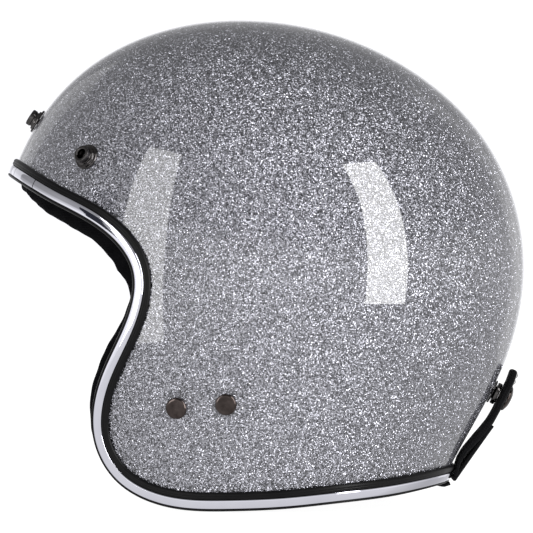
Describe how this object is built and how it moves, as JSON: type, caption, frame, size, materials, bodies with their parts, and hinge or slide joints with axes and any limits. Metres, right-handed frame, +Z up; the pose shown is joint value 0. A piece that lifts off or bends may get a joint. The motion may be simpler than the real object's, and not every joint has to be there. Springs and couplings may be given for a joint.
{
  "type": "open face helmet",
  "caption": "Open face helmet with a metal flake shell, bright and rubber edge trim, visor snaps, padded lining, chin strap with rings and a rear goggle strap.",
  "frame": {"origin": "middle of the underside of the bounding box, on the plane of symmetry of the shell", "axes": "+Z up, the face opening toward -Y, the wearer's left toward +X"},
  "size_m": [0.2312, 0.2725, 0.2545],
  "materials": {
    "flake_paint": "metal flake lacquer under clear coat",
    "foam": "black bead foam",
    "rubber_edge": "satin black",
    "bright_strip": "bright plated",
    "dark_nickel": "black nickel plated",
    "gunmetal": "dark plated",
    "plain_steel": "zinc plated",
    "bright_steel": "polished",
    "webbing": "woven webbing",
    "lining": "knitted cloth over foam"
  },
  "bodies": {
    "helmet": {"outer_shell": "flake_paint", "eps_liner": "foam", "edge_trim_rubber": "rubber_edge", "edge_trim_chrome": "bright_strip", "visor_snap_studs": "dark_nickel", "visor_snap_rivets": "dark_nickel", "visor_snap_washers": "plain_steel", "chin_rivets": "gunmetal", "chin_rivet_spacers": "plain_steel", "hanger_plate_left": "plain_steel", "hanger_plate_right": "plain_steel", "strap_tab_left": "webbing", "strap_tab_right": "webbing", "opening_roll": "lining", "brow_pad": "lining", "crown_pad": "lining", "headband_pad": "lining", "cheek_pad_left": "lining", "cheek_pad_right": "lining", "neck_roll": "lining", "rear_stud": "dark_nickel", "rear_stud_rivet": "dark_nickel", "rear_stud_washer": "plain_steel", "rear_anchor_tab": "webbing"},
    "goggle_strap": {"goggle_strap": "webbing", "goggle_snap_cap": "gunmetal", "goggle_snap_socket": "dark_nickel"},
    "chin_strap_left": {"chin_strap_left": "webbing", "chin_sleeve_left": "lining"},
    "d_ring_lower": {"d_ring_lower": "bright_steel"},
    "d_ring_upper": {"d_ring_upper": "bright_steel"},
    "chin_strap_right": {"chin_strap_right": "webbing", "chin_sleeve_right": "lining"},
    "strap_tail": {"strap_tail": "webbing"}
  },
  "joints": [
    {"name": "goggle_strap_swing", "type": "hinge", "parent": "helmet", "child": "goggle_strap", "pos_m": [0, 0.0986, 0.011], "axis": [-1, 0, 0], "range_deg": [0, 110]},
    {"name": "chin_strap_left_swing", "type": "hinge", "parent": "helmet", "child": "chin_strap_left", "pos_m": [0.05, -0.033, 0.0113], "axis": [0, -1, 0], "range_deg": [0, 170]},
    {"name": "chin_strap_right_swing", "type": "hinge", "parent": "helmet", "child": "chin_strap_right", "pos_m": [-0.05, -0.033, 0.0113], "axis": [0, 1, 0], "range_deg": [0, 170]},
    {"name": "d_ring_upper_swing", "type": "hinge", "parent": "chin_strap_left", "child": "d_ring_upper", "pos_m": [0.04972, -0.033, 0.08952], "axis": [0, 1, 0], "range_deg": [0, 150]},
    {"name": "d_ring_lower_swing", "type": "hinge", "parent": "chin_strap_left", "child": "d_ring_lower", "pos_m": [0.05326, -0.033, 0.0853], "axis": [0, 1, 0], "range_deg": [0, 90]},
    {"name": "strap_tail_swing", "type": "hinge", "parent": "chin_strap_right", "child": "strap_tail", "pos_m": [-0.05411, -0.033, 0.09727], "axis": [0, -1, 0], "range_deg": [0, 165]}
  ],
  "couplings": [
    {"joint": "d_ring_lower_swing", "follows": "d_ring_upper_swing", "ratio": 0.6}
  ]
}
